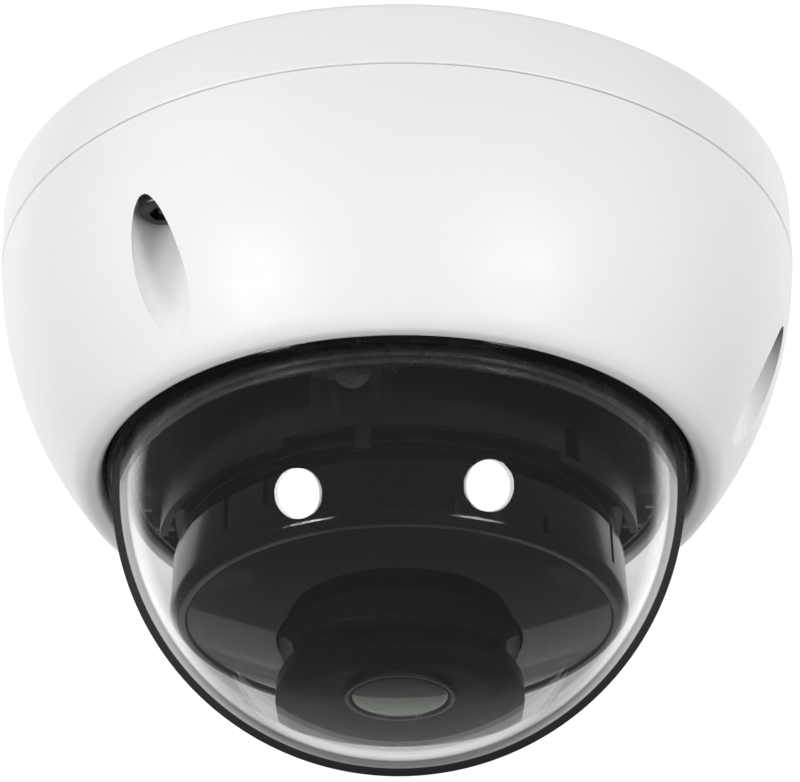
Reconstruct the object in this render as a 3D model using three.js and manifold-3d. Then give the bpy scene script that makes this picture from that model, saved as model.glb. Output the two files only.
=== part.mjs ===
// Vandal-resistant dome CCTV camera, hanging from a ceiling.
// Millimetres. The ceiling is the plane z = 0, the camera hangs into -Z and its front faces -Y.
// Azimuths are measured from the front (-Y) towards the right (+X).
import * as THREE from 'three';
import { mergeVertices } from 'three/addons/utils/BufferGeometryUtils.js';
import Module from 'manifold-3d';

const wasm = await Module();
wasm.setup();

// ---------------------------------------------------------------- driving dimensions
const BASE_R = 61; // ceiling base, outer radius
const BASE_H = 10.3; // ceiling base, height
const FLOOR_T = 3; // ceiling base, floor thickness
const BASE_WALL_R = 57.4; // ceiling base, inside radius of the wall
const SEAL_INNER_R = 58.4;
const SEAL_OUTER_R = 60;
const SEAL_TOP_Z = -9.1;
const EDGE = 0.8; // chamfer round the ceiling side of the base
const EDGE_LOW = 0.3; // chamfer round the lower side of the base

const COVER_TOP_Z = -10.6; // cover starts just below the base
const COVER_TOP_R = 60.9;
const COVER_ARC_R = 62.8; // radius of the cover's side arc
const COVER_ARC_START = THREE.MathUtils.degToRad(3);
const COVER_ARC_END = THREE.MathUtils.degToRad(37);
const COVER_WALL = 2.7; // measured level
const LEDGE_Z = -42; // ledge that carries the bubble's gasket
const OPENING_R = 44.5;

const POCKET_R = 4.3; // counterbores for the cover screws
const POCKET_WALL_R = 6.1;
const POCKET_FLOOR_Z = -21.5;
const POCKET_FLOOR_T = 2.6;
const POCKET_REACH_Z = -60; // lower end of the cutters that open the pockets
const SCREW_CIRCLE_R = 54.7;
const SCREW_COLUMN_R = 4; // column over each pocket floor
const SCREW_BORE_R = 1.9;
const COVER_SCREW = {
  headR: 3.5,
  domeR: 2.9,
  headH: 2.7,
  domeH: 0.7,
  hexR: 1.9,
  hexH: 1.7,
  pinR: 0.6,
  shaftR: 1.65,
};
const COVER_SCREW_TIP_Z = -3.5;
const SCREW_AZIMUTHS = { front_left: -38, right: 82, rear: 202 };

const BUBBLE_Z = -45.9; // centre of the bubble and of the tilt axis
const BUBBLE_R = 43;
const BUBBLE_WALL = 2.2;
const FLANGE_R = 47.2;
const FLANGE_Z = [-41.2, -39.8];
const NECK_R = 43.9; // thicker neck of the bubble inside the opening
const NECK_EDGE_Z = -45;
const GASKET_R = [44, 44.4]; // sleeve of the gasket between bubble and opening
const GASKET_EDGE_Z = -43.9;

const CLAMP_Z = [-39.8, -38.2]; // ring that holds the bubble's flange
const CLAMP_R = [41.2, 48.4];
const CLAMP_HOLE_R = 1.3;
const CLAMP_TAP_R = 1.05; // blind holes in the cover's ledge
const CLAMP_TAP_Z = -44.6;
const CLAMP_SCREW_R = 45.8;
const CLAMP_AZIMUTHS = [22, 142, 262];

const LINER_R = [39.9, 40.4]; // skirt of the black inner liner
const LINER_WALL_R = [47.5, 48.1]; // upper wall, in front of the cover
const LINER_FLANGE_T = 1;
const LINER_EDGE_Z = -48.4;
const LINER_REAR = { from: 75, to: 285, edgeZ: -46.2 }; // azimuths of the shorter rear part of the skirt
const LINER_TOP_Z = -14;

const BOARD_Z = [-8.2, -6.6];
const BOARD_R = 38;
const BOARD_POST_R = 33;
const BOARD_AZIMUTHS = [60, 150, 285];
const PAD_T = 1.4; // heat pad, as thick as the processor under it
const CHASSIS_Z = [-12.2, -11];
const CHASSIS_R = 47;
const CHASSIS_POST_R = 43.6;
const CHASSIS_AZIMUTHS = [10, 130, 250];
const SEAT_BOSS = { r: 3.3, boreR: 1.75, boreTopZ: -1.2 }; // bosses under the base floor
const CHASSIS_BOSS = { r: 3, boreR: 1.1, boreTopZ: -4 };
const BOARD_BOSS = { r: 2.6, boreR: 1, boreTopZ: -2 };
const MOUNT_PAD_R = 5; // thickening round each mounting hole
const MOUNT_HOLE_R = 2.4;
const MOUNT_CIRCLE_R = 50.6;
const MOUNT_AZIMUTHS = [22, 142, 262];
const GROMMET_Y = 24;
const GROMMET_BORE_R = 3.6;
const GROMMET_R = 8; // in the floor of the base
const GROMMET_FLANGE_R = 9.6;
const GROMMET_Z = [-4.4, -0.4];
const RESET_AT = [16, -19];
const RESET_BUTTON_R = 1.4;
const RESET_BUTTON_Z = [-12, -9.5];
const RESET_BORE_R = 1.6;

const YOKE_Z = [-15.5, -12.5]; // pan yoke, top bridge
const ARM_X = [33.6, 36.6];
const ARM_HALF_Y = 5.2;
const ARM_END_Z = -46.9;
const BRIDGE_R = 13;
const HUB_R = 4; // pan axle
const HUB_HEAD_R = 6.5;
const HUB_HEAD_Z = [-17.6, -16.2];
const WASHER_R = 8;
const SHROUD_R = [34.2, 35.4];
const SHROUD_Z = [-56.3, -41];
const SHROUD_HALF_ANGLE = 82;
const SHROUD_BAY = { from: -27, to: 40, topZ: -54.9 }; // shallow cut-out in the lower edge
const SHROUD_SLOT = { azimuth: 44, width: 2.6, depth: 8, z: [-55.2, -46.5] };
const SHROUD_TAB = { azimuth: -8, halfWidth: 1.2, z: [-58.4, -54] };
const LOCK_AZIMUTH = -10; // boss for the pan lock screw
const LOCK_TIP = 118; // degrees about X, from upright
const LOCK_AT = [0, -34.6, -45.4];
const PIVOT_R = 2;

const RING_R = [29.6, 32]; // tilt ring around the camera module
const RING_Z = [-55.8, -47.2];
const EAR_X = [30, 33.3];
const EAR_R = 5.4;
const EAR_FOOT_Z = -52;

const DRUM_R = 33.2; // camera module
const DRUM_Z = [-68.8, -59.2];
const RIM_R = 32;
const WINDOW_R = 30.9;
const WINDOW_HOLE_R = 17.8;
const WINDOW_EDGE_Z = -68.5;
const WINDOW_INNER_Z = -71.3;
const COLLAR_R = 17.6;
const COLLAR_Z = [-75.5, -66.5];
const COLLAR_HOLE_R = 12.5;
const COLLAR_FLANGE_R = 20;
const COLLAR_FLANGE_Z = -67.9;
const COLLAR_TAPER = { high: [17.7, -71.4], low: [15.2, -75.5] }; // drawn-in sides, half-width and height
const BLOCK_HALF_X = 18.3;
const BLOCK_Y = [-11.8, 27]; // its far side is cut round by the sweep
const BLOCK_CORNER = [11, 20]; // half-axes of the elliptic front corners, in X and Y
const BLOCK_WALL_Z = -77.5;
const BLOCK_FACE_Z = -79.4;
const SWEEP_R = 39.5; // everything on the module stays inside this sphere
const LENS_R = 8;
const BARREL_R = [5.6, 7];
const BARREL_Z = [-78.9, -61];
const RIM_Z = -80.25; // front of the ring round the lens
const IR_BOARD_R = [19.4, 30.6];
const IR_BOARD_Z = [-66.2, -65];
const LED_CIRCLE_R = 24.5;
const LED_AZIMUTHS = [45, 135, 225, 315];
const DRUM_SLOT_DEPTH = 0.9;
const DRUM_SLOTS = [ // azimuth, width, lower end, upper end
  [-47, 1, -64.6, -58],
  [-34, 1, -63.3, -58],
  [13, 0.9, -67.3, -65],
  [38, 0.9, -67.3, -64.4],
  [66, 1, -65.4, -58],
];

// ---------------------------------------------------------------- looks
const look = (color, roughness, metalness) => new THREE.MeshStandardMaterial({ color, roughness, metalness });
const whitePaint = look(0xeeeeec, 0.45, 0);
const blackSatin = look(0x161616, 0.4, 0);
const blackGloss = look(0x0a0a0b, 0.08, 0);
const rubber = look(0x1c1c1c, 0.8, 0);
const steel = look(0xb8bbbe, 0.3, 0.9);
const darkSteel = look(0x35373a, 0.4, 0.7);
const clear = look(0xe9eef0, 0.05, 0);
const boardGreen = look(0x14522f, 0.5, 0);
const chipBlack = look(0x202124, 0.5, 0);
const castZinc = look(0x2a2b2d, 0.5, 0.5);
const ivory = look(0xe6e2d4, 0.5, 0);
const padGrey = look(0x8d9399, 0.8, 0);
const ledLens = look(0xd9dde2, 0.1, 0);
const lensGlass = look(0x263026, 0.03, 0);

// ---------------------------------------------------------------- solids
const camera = new THREE.Group();
camera.name = 'dome_camera';

// A closed geometry as a manifold, faces turned outwards.
function solid(geometry) {
  const bare = geometry.clone();
  bare.deleteAttribute('normal');
  bare.deleteAttribute('uv');
  const welded = mergeVertices(bare, 1e-4);
  const position = welded.getAttribute('position');
  const index = welded.getIndex().array;
  const corner = [new THREE.Vector3(), new THREE.Vector3(), new THREE.Vector3()];
  const triangles = [];
  let volume = 0;
  for (let i = 0; i < index.length; i += 3) {
    const [a, b, c] = [index[i], index[i + 1], index[i + 2]];
    if (a === b || b === c || c === a) continue;
    triangles.push(a, b, c);
    corner.forEach((point, k) => point.fromBufferAttribute(position, index[i + k]));
    volume += corner[0].dot(corner[1].clone().cross(corner[2]));
  }
  if (volume < 0) triangles.reverse();
  const mesh = new wasm.Mesh({
    numProp: 3,
    vertProperties: new Float32Array(position.array),
    triVerts: new Uint32Array(triangles),
  });
  return new wasm.Manifold(mesh);
}

function geometryOf(manifold) {
  const mesh = manifold.getMesh();
  const geometry = new THREE.BufferGeometry();
  const position = new THREE.BufferAttribute(new Float32Array(mesh.vertProperties), 3);
  geometry.setAttribute('position', position);
  geometry.setIndex(new THREE.BufferAttribute(new Uint32Array(mesh.triVerts), 1));
  geometry.computeVertexNormals();
  return geometry;
}

// A ring or disc about Z from a closed list of [radius, z] corners.
function revolve(corners, segments = 40) {
  const points = [...corners, corners[0]].map(([r, z]) => new THREE.Vector2(r, z));
  return solid(new THREE.LatheGeometry(points, segments).rotateX(Math.PI / 2));
}

const ring = (inner, outer, low, high, segments) =>
  revolve([[inner, low], [outer, low], [outer, high], [inner, high]], segments);

// A cylinder about Z through (x, y).
function rod(radius, low, high, x = 0, y = 0, segments = 24) {
  const geometry = new THREE.CylinderGeometry(radius, radius, high - low, segments);
  return solid(geometry.rotateX(Math.PI / 2).translate(x, y, (low + high) / 2));
}

// A cylinder about X through (y, z).
function axle(radius, low, high, y, z, segments = 24) {
  const geometry = new THREE.CylinderGeometry(radius, radius, high - low, segments);
  return solid(geometry.rotateZ(Math.PI / 2).translate((low + high) / 2, y, z));
}

function box(low, high) {
  const size = high.map((value, k) => value - low[k]);
  const middle = high.map((value, k) => (value + low[k]) / 2);
  return solid(new THREE.BoxGeometry(...size).translate(...middle));
}

// An outline in X and Y between two heights.
function prism(shape, low, high, curveSegments = 6) {
  const geometry = new THREE.ExtrudeGeometry(shape, { depth: high - low, bevelEnabled: false, curveSegments });
  return solid(geometry.translate(0, 0, low));
}

// Turns a manifold about Z by an azimuth in degrees.
const turned = (manifold, degrees) => manifold.rotate([0, 0, degrees]);

// Point on a circle at an azimuth from the front.
function onCircle(radius, azimuth) {
  const angle = THREE.MathUtils.degToRad(azimuth);
  return [radius * Math.sin(angle), -radius * Math.cos(angle)];
}

// Pie-shaped sector about Z, used to trim rings to a range of azimuths.
function sector(from, to, radius, low, high) {
  const steps = 12;
  const shape = new THREE.Shape();
  shape.moveTo(0, 0);
  for (let i = 0; i <= steps; i += 1) {
    shape.lineTo(...onCircle(radius, THREE.MathUtils.lerp(from, to, i / steps)));
  }
  shape.closePath();
  return prism(shape, low, high);
}

const joined = (first, ...others) => others.reduce((sum, next) => sum.add(next), first);
const cut = (first, ...others) => others.reduce((rest, next) => rest.subtract(next), first);

function place(name, manifold, material, group = camera) {
  const mesh = new THREE.Mesh(geometryOf(manifold), material);
  mesh.name = name;
  group.add(mesh);
}

// ---------------------------------------------------------------- ceiling base
const seats = Object.values(SCREW_AZIMUTHS).map((azimuth) => onCircle(SCREW_CIRCLE_R, azimuth));
const chassisPosts = CHASSIS_AZIMUTHS.map((azimuth) => onCircle(CHASSIS_POST_R, azimuth));
const boardPosts = BOARD_AZIMUTHS.map((azimuth) => onCircle(BOARD_POST_R, azimuth));
const mountHoles = MOUNT_AZIMUTHS.map((azimuth) => onCircle(MOUNT_CIRCLE_R, azimuth));

let base = revolve([
  [0, 0],
  [BASE_R - EDGE, 0],
  [BASE_R, -EDGE],
  [BASE_R, -BASE_H + EDGE_LOW],
  [BASE_R - EDGE_LOW, -BASE_H],
  [SEAL_OUTER_R, -BASE_H],
  [SEAL_OUTER_R, SEAL_TOP_Z],
  [SEAL_INNER_R, SEAL_TOP_Z],
  [SEAL_INNER_R, -BASE_H],
  [BASE_WALL_R, -BASE_H],
  [BASE_WALL_R, -FLOOR_T],
  [0, -FLOOR_T],
]);
base = joined(
  base,
  ...seats.map(([x, y]) => rod(SEAT_BOSS.r, -BASE_H, -FLOOR_T + 1, x, y, 16)),
  ...chassisPosts.map(([x, y]) => rod(CHASSIS_BOSS.r, CHASSIS_Z[1], -FLOOR_T + 1, x, y, 12)),
  ...boardPosts.map(([x, y]) => rod(BOARD_BOSS.r, BOARD_Z[1], -FLOOR_T + 1, x, y, 12)),
  ...mountHoles.map(([x, y]) => rod(MOUNT_PAD_R, -FLOOR_T - 1, -FLOOR_T + 1, x, y, 16)),
);
base = cut(
  base,
  ...seats.map(([x, y]) => rod(SEAT_BOSS.boreR, -BASE_H - 1, SEAT_BOSS.boreTopZ, x, y, 12)),
  ...chassisPosts.map(([x, y]) => rod(CHASSIS_BOSS.boreR, CHASSIS_Z[1] - 1, CHASSIS_BOSS.boreTopZ, x, y, 8)),
  ...boardPosts.map(([x, y]) => rod(BOARD_BOSS.boreR, BOARD_Z[1] - 1, BOARD_BOSS.boreTopZ, x, y, 8)),
  ...mountHoles.map(([x, y]) => rod(MOUNT_HOLE_R, -FLOOR_T - 2, 1, x, y, 16)),
  rod(GROMMET_R, -FLOOR_T - 1, 1, 0, GROMMET_Y, 24),
);
place('base_housing', base, whitePaint);
place('base_seal', ring(SEAL_INNER_R, SEAL_OUTER_R, COVER_TOP_Z, SEAL_TOP_Z), rubber);

const grommet = revolve([
  [GROMMET_BORE_R, GROMMET_Z[0]],
  [GROMMET_FLANGE_R, GROMMET_Z[0]],
  [GROMMET_FLANGE_R, -FLOOR_T],
  [GROMMET_R, -FLOOR_T],
  [GROMMET_R, GROMMET_Z[1]],
  [GROMMET_BORE_R, GROMMET_Z[1]],
], 24);
place('cable_grommet', grommet.translate([0, GROMMET_Y, 0]), rubber);

// ---------------------------------------------------------------- cover
function coverRadius(z) {
  const angle = Math.asin((COVER_TOP_Z - z) / COVER_ARC_R + Math.sin(COVER_ARC_START));
  return COVER_TOP_R - COVER_ARC_R * (Math.cos(COVER_ARC_START) - Math.cos(angle));
}
const COVER_ARC_STEPS = 8;
const coverSide = [];
for (let i = 0; i <= COVER_ARC_STEPS; i += 1) {
  const angle = THREE.MathUtils.lerp(COVER_ARC_START, COVER_ARC_END, i / COVER_ARC_STEPS);
  const r = COVER_TOP_R - COVER_ARC_R * (Math.cos(COVER_ARC_START) - Math.cos(angle));
  const z = COVER_TOP_Z - COVER_ARC_R * (Math.sin(angle) - Math.sin(COVER_ARC_START));
  coverSide.push([r, z]);
}
const lip = [[47.95, -45.5], [47.3, -45.88], [46.5, -46], [45.6, -45.75], [44.95, -45.2], [OPENING_R, -44.5]];
const coverInside = [LEDGE_Z, -36, -29, -20, COVER_TOP_Z].map((z) => [coverRadius(z) - COVER_WALL, z]);
let cover = revolve([...coverSide, ...lip, [OPENING_R, LEDGE_Z], ...coverInside], 48);
const coverFilled = revolve([...coverSide, ...lip, [OPENING_R, COVER_TOP_Z]], 48);
const pocketTop = POCKET_FLOOR_Z + POCKET_FLOOR_T;
const pocketWalls = seats.map(([x, y]) => rod(POCKET_WALL_R, POCKET_REACH_Z, pocketTop, x, y, 20));
const screwColumns = seats.map(([x, y]) => rod(SCREW_COLUMN_R, POCKET_FLOOR_Z, COVER_TOP_Z, x, y, 12));
const clampPoints = CLAMP_AZIMUTHS.map((azimuth) => onCircle(CLAMP_SCREW_R, azimuth));
cover = joined(cover, ...[...pocketWalls, ...screwColumns].map((column) => column.intersect(coverFilled)));
cover = cut(
  cover,
  ...seats.map(([x, y]) => rod(POCKET_R, POCKET_REACH_Z, POCKET_FLOOR_Z, x, y, 24)),
  ...seats.map(([x, y]) => rod(SCREW_BORE_R, POCKET_FLOOR_Z - 1, COVER_TOP_Z + 1, x, y, 12)),
  ...clampPoints.map(([x, y]) => rod(CLAMP_TAP_R, CLAMP_TAP_Z, LEDGE_Z + 1, x, y, 8)),
);
place('cover_shell', cover, whitePaint);

// Captive tamper-proof screw: hexagonal recess with a pin in the middle.
function coverScrew(x, y) {
  const { headR, domeR, headH, domeH, hexR, hexH, pinR, shaftR } = COVER_SCREW;
  const front = POCKET_FLOOR_Z - headH;
  const blank = revolve([
    [0, POCKET_FLOOR_Z],
    [headR, POCKET_FLOOR_Z],
    [headR, front + domeH],
    [domeR, front],
    [0, front],
  ], 16);
  const recess = rod(hexR, front - 1, front + hexH, 0, 0, 6);
  const pin = rod(pinR, front + 0.4, POCKET_FLOOR_Z - 0.5, 0, 0, 8);
  const shaft = rod(shaftR, POCKET_FLOOR_Z - 0.5, COVER_SCREW_TIP_Z, 0, 0, 8);
  return joined(blank.subtract(recess), pin, shaft).translate([x, y, 0]);
}
Object.keys(SCREW_AZIMUTHS).forEach((side, k) => {
  place(`cover_screw_${side}`, coverScrew(...seats[k]), steel);
});

// ---------------------------------------------------------------- bubble and its fixing
const clampHoles = (low, high) => clampPoints.map(([x, y]) => rod(CLAMP_HOLE_R, low, high, x, y, 8));

const gasket = revolve([
  [GASKET_R[0], GASKET_EDGE_Z],
  [GASKET_R[1], GASKET_EDGE_Z],
  [GASKET_R[1], LEDGE_Z],
  [FLANGE_R, LEDGE_Z],
  [FLANGE_R, FLANGE_Z[0]],
  [GASKET_R[0], FLANGE_Z[0]],
]);
place('bubble_gasket', cut(gasket, ...clampHoles(LEDGE_Z - 1, FLANGE_Z[0] + 1)), rubber);

// Quarter circle from level with the bubble's centre down to its lowest point.
function quarter(radius, steps) {
  return Array.from({ length: steps + 1 }, (_, i) => {
    const angle = (i / steps) * (Math.PI / 2);
    return [i === steps ? 0 : radius * Math.cos(angle), BUBBLE_Z - radius * Math.sin(angle)];
  });
}
const BUBBLE_STEPS = 10;
const bubbleInner = BUBBLE_R - BUBBLE_WALL;
const bubble = revolve([
  [bubbleInner, FLANGE_Z[1]],
  [FLANGE_R, FLANGE_Z[1]],
  [FLANGE_R, FLANGE_Z[0]],
  [NECK_R, FLANGE_Z[0]],
  [NECK_R, NECK_EDGE_Z],
  ...quarter(BUBBLE_R, BUBBLE_STEPS),
  ...quarter(bubbleInner, BUBBLE_STEPS - 2).reverse(),
]);
place('dome_bubble', cut(bubble, ...clampHoles(FLANGE_Z[0] - 0.5, FLANGE_Z[1] + 1)), clear);

const clamp = cut(ring(...CLAMP_R, ...CLAMP_Z), ...clampHoles(CLAMP_Z[0] - 1, CLAMP_Z[1] + 1));
place('bubble_clamp_ring', clamp, darkSteel);

const LINER_FLANGE_Z = CLAMP_Z[1] + LINER_FLANGE_T;
const liner = revolve([
  [LINER_R[0], LINER_EDGE_Z],
  [LINER_R[1], LINER_EDGE_Z],
  [LINER_R[1], CLAMP_Z[1]],
  [LINER_WALL_R[1], CLAMP_Z[1]],
  [LINER_WALL_R[1], LINER_TOP_Z],
  [LINER_WALL_R[0], LINER_TOP_Z],
  [LINER_WALL_R[0], LINER_FLANGE_Z],
  [LINER_R[0], LINER_FLANGE_Z],
]);
const rearSkirt = sector(LINER_REAR.from, LINER_REAR.to, 45, LINER_EDGE_Z - 1, LINER_REAR.edgeZ);
const linerHoles = clampHoles(CLAMP_Z[1] - 1, LINER_FLANGE_Z + 1);
place('inner_liner', cut(liner, rearSkirt, ...linerHoles), blackSatin);

// Pan-head screw with a cross recess, head at the top, pointing down.
function smallScrew(x, y, seatZ, tipZ, headR = 1.6, shaftR = 1) {
  const head = rod(headR, seatZ, seatZ + 1.2, 0, 0, 12);
  const slot = box([-headR * 0.7, -0.25, seatZ + 0.6], [headR * 0.7, 0.25, seatZ + 2]);
  const shaft = rod(shaftR, tipZ, seatZ + 0.3, 0, 0, 8);
  return cut(joined(head, shaft), slot, turned(slot, 90)).translate([x, y, 0]);
}
clampPoints.forEach(([x, y], k) => {
  place(`clamp_screw_${k + 1}`, smallScrew(x, y, LINER_FLANGE_Z, -44.2), steel);
});

// ---------------------------------------------------------------- main board
const board = cut(
  rod(BOARD_R, ...BOARD_Z, 0, 0, 40),
  ...boardPosts.map(([x, y]) => rod(1.2, BOARD_Z[0] - 1, BOARD_Z[1] + 1, x, y, 8)),
);
place('main_board', board, boardGreen);

// Screw from below, head at the bottom, pointing up.
const screwUp = (x, y, seatZ, tipZ) =>
  smallScrew(0, 0, 0, seatZ - tipZ).rotate([180, 0, 0]).translate([x, y, seatZ]);
boardPosts.forEach(([x, y], k) => {
  place(`board_screw_${k + 1}`, screwUp(x, y, BOARD_Z[0], -3.4), steel);
});

// A block standing on the underside of the main board.
const boardItem = (x, y, width, depth, height) =>
  box([x - width / 2, y - depth / 2, BOARD_Z[0] - height], [x + width / 2, y + depth / 2, BOARD_Z[0]]);
place('processor_chip', boardItem(-14, 6, 14, 14, PAD_T), chipBlack);
place('heat_pad', boardItem(-14, 6, 12, 12, PAD_T).translate([0, 0, -PAD_T]), padGrey);
place('memory_chip', boardItem(-14, -9, 9, 8, 1), chipBlack);
const cardSlot = cut(boardItem(18, 4, 15, 14.5, 1.9), boardItem(19, 4, 15, 11.4, 0.9).translate([0, 0, -0.5]));
place('card_slot', cardSlot, steel);
const socketShell = cut(
  box([-18, 6, BOARD_Z[1]], [-6, 12, -3.6]),
  box([-17, 5, BOARD_Z[1] + 0.8], [-7, 11, -4.4]),
);
place('network_connector', socketShell, ivory);
const [resetX, resetY] = RESET_AT;
const switchBody = cut(boardItem(resetX, resetY, 6, 6, 2.2), rod(RESET_BORE_R, -11, -8.8, resetX, resetY, 12));
place('reset_switch_body', switchBody, chipBlack);
place('reset_button', rod(RESET_BUTTON_R, ...RESET_BUTTON_Z, resetX, resetY, 12), ivory);

// ---------------------------------------------------------------- chassis plate and pan hub
const chassis = cut(
  rod(CHASSIS_R, ...CHASSIS_Z, 0, 0, 40),
  rod(HUB_R + 0.05, -14, -10, 0, 0, 16),
  rod(2.2, -14, -10, resetX, resetY, 12),
  box([10, -4, -14], [30, 12, -10]),
  ...chassisPosts.map(([x, y]) => rod(1.3, -14, -10, x, y, 8)),
);
place('chassis_plate', chassis, castZinc);
chassisPosts.forEach(([x, y], k) => {
  place(`chassis_screw_${k + 1}`, screwUp(x, y, CHASSIS_Z[0], -5), steel);
});
// Shoulder screw on which the yoke pans.
const hub = joined(
  rod(HUB_HEAD_R, ...HUB_HEAD_Z, 0, 0, 20),
  rod(HUB_R - 0.05, HUB_HEAD_Z[1] - 0.3, CHASSIS_Z[1] + 0.6, 0, 0, 16),
);
const hubSlot = box([-4, -0.5, -18], [4, 0.5, -17]);
place('pan_hub_screw', cut(hub, hubSlot, turned(hubSlot, 90)), steel);
place('pan_washer', ring(HUB_R + 0.15, WASHER_R, HUB_HEAD_Z[1], YOKE_Z[0] - 0.2, 16), darkSteel);

// ---------------------------------------------------------------- pan yoke
const pan = new THREE.Group();
pan.name = 'pan';
camera.add(pan);

// Low and high X of a span of distances from the middle, on the right (1) or the left (-1).
const span = (sign, [near, far]) => (sign > 0 ? [near, far] : [-far, -near]);
const mirrored = (make) => [make(1), make(-1)];
function arm(sign) {
  const [low, high] = span(sign, ARM_X);
  const leg = box([low, -ARM_HALF_Y, ARM_END_Z], [high, ARM_HALF_Y, YOKE_Z[1]]);
  const lowerHalf = box([low - 1, -ARM_HALF_Y - 1, ARM_END_Z - 10], [high + 1, ARM_HALF_Y + 1, ARM_END_Z + 1]);
  return leg.add(axle(ARM_HALF_Y, low, high, 0, ARM_END_Z).intersect(lowerHalf));
}
const arms = mirrored(arm);
let yoke = joined(
  rod(BRIDGE_R, ...YOKE_Z, 0, 0, 24),
  box([-ARM_X[1], -ARM_HALF_Y, YOKE_Z[0]], [ARM_X[1], ARM_HALF_Y, YOKE_Z[1]]),
  ...arms,
);
yoke = cut(
  yoke,
  rod(HUB_R + 0.2, -20, -10, 0, 0, 16),
  axle(PIVOT_R + 0.15, -50, 50, 0, BUBBLE_Z, 16),
);
place('pan_yoke', yoke, castZinc, pan);

// A narrow upright slot cut into a round wall at one azimuth.
const slot = (azimuth, width, depth, radius, low, high) =>
  turned(box([-width / 2, -radius - 1, low], [width / 2, -radius + depth, high]), azimuth);

const shroudSector = sector(-SHROUD_HALF_ANGLE, SHROUD_HALF_ANGLE, 60, -60, -30);
let shroud = ring(...SHROUD_R, ...SHROUD_Z, 48).intersect(shroudSector);
shroud = cut(
  shroud,
  ...arms,
  sector(SHROUD_BAY.from, SHROUD_BAY.to, 60, -60, SHROUD_BAY.topZ),
  slot(SHROUD_SLOT.azimuth, SHROUD_SLOT.width, SHROUD_SLOT.depth, SHROUD_R[1], ...SHROUD_SLOT.z),
);
const shroudTab = turned(box(
  [-SHROUD_TAB.halfWidth, -SHROUD_R[1] + 0.1, SHROUD_TAB.z[0]],
  [SHROUD_TAB.halfWidth, -SHROUD_R[0] - 0.1, SHROUD_TAB.z[1]],
), SHROUD_TAB.azimuth);
// A cylinder on the lock screw's axis: out of the shroud and tipped a little downwards.
function onLockAxis(radius, near, far, segments = 28) {
  const upright = rod(radius, near, far, 0, 0, segments);
  return turned(upright.rotate([LOCK_TIP, 0, 0]).translate(LOCK_AT), LOCK_AZIMUTH);
}
const lockPost = joined(onLockAxis(6.2, -1.4, 0.4), onLockAxis(3.9, -1.4, 1.4));
const shroudOutside = ring(SHROUD_R[0], 38.9, -60, -30, 48);
shroud = joined(shroud, shroudTab, lockPost.intersect(shroudOutside));
shroud = cut(shroud, onLockAxis(1.6, -6, 6, 16), onLockAxis(2.8, 1.4, 6, 20));
place('yoke_shroud', shroud, blackSatin, pan);
const lockScrew = joined(onLockAxis(2.7, 1.4, 2.6, 20), onLockAxis(1.4, -1, 1.6, 16));
place('pan_lock_screw', lockScrew, darkSteel, pan);

// ---------------------------------------------------------------- tilt ring
const tilt = new THREE.Group();
tilt.name = 'tilt';
pan.add(tilt);

const ears = mirrored((sign) => {
  const [low, high] = span(sign, EAR_X);
  return axle(EAR_R, low, high, 0, BUBBLE_Z, 20).add(box([low, -EAR_R, EAR_FOOT_Z], [high, EAR_R, BUBBLE_Z]));
});
let tiltRing = joined(ring(...RING_R, ...RING_Z, 40), ...ears);
tiltRing = cut(tiltRing, rod(RING_R[0], -60, -30, 0, 0, 40), axle(PIVOT_R, -50, 50, 0, BUBBLE_Z, 16));
place('tilt_ring', tiltRing, blackSatin, tilt);

const pivotHead = axle(3.2, ARM_X[1] + 0.1, ARM_X[1] + 1.9, 0, BUBBLE_Z, 16);
const pivotShaft = axle(PIVOT_R - 0.05, EAR_X[0], ARM_X[1] + 0.5, 0, BUBBLE_Z, 12);
const pivotHex = axle(1.3, ARM_X[1] + 1, ARM_X[1] + 3, 0, BUBBLE_Z, 6);
const pivotScrew = cut(joined(pivotHead, pivotShaft), pivotHex);
place('pivot_screw_right', pivotScrew, steel, tilt);
place('pivot_screw_left', turned(pivotScrew, 180), steel, tilt);

// ---------------------------------------------------------------- camera module
const head = new THREE.Group();
head.name = 'module';
tilt.add(head);

let drum = revolve([
  [30.9, DRUM_Z[1]],
  [DRUM_R, DRUM_Z[1]],
  [DRUM_R, DRUM_Z[0] + 1.3],
  [RIM_R, DRUM_Z[0]],
  [WINDOW_R + 0.1, DRUM_Z[0]],
  [WINDOW_R + 0.1, -67],
  [29.7, -67],
  [29.7, -66.2],
  [30.9, -66.2],
]);
drum = cut(drum, ...DRUM_SLOTS.map(([azimuth, width, low, high]) =>
  slot(azimuth, width, DRUM_SLOT_DEPTH, DRUM_R, low, high)));
place('module_bezel', drum, blackSatin, head);

const cup = revolve([
  [4, -43.6],
  [4, -42],
  [24, -42],
  [28.6, -46.5],
  [28.6, -60],
  [30.8, -60],
  [30.8, -61.4],
  [27, -61.4],
  [27, -47],
  [23.4, -43.6],
], 32);
place('module_rear_cup', cup, castZinc, head);

const windowSolid = revolve([
  [WINDOW_HOLE_R, WINDOW_INNER_Z + 1.6],
  [WINDOW_R, -67],
  [WINDOW_R, WINDOW_EDGE_Z],
  [WINDOW_HOLE_R, WINDOW_INNER_Z],
]);
place('front_window', windowSolid, blackGloss, head);

// Annular board with the infrared emitters that shine through the dark window.
place('ir_board', ring(...IR_BOARD_R, ...IR_BOARD_Z), boardGreen, head);
LED_AZIMUTHS.forEach((azimuth, k) => {
  const led = joined(
    box([-2, -2, -67], [2, 2, -66.2]),
    revolve([[0, -67.9], [1, -67.8], [1.7, -67.3], [1.7, -66.8], [0, -66.8]], 12),
  );
  const [x, y] = onCircle(LED_CIRCLE_R, azimuth);
  place(`ir_led_${k + 1}`, led.translate([x, y, 0]), ledLens, head);
});
place('light_sensor', rod(1.5, -67.6, -66.2, 0, -LED_CIRCLE_R, 20), ledLens, head);

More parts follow.
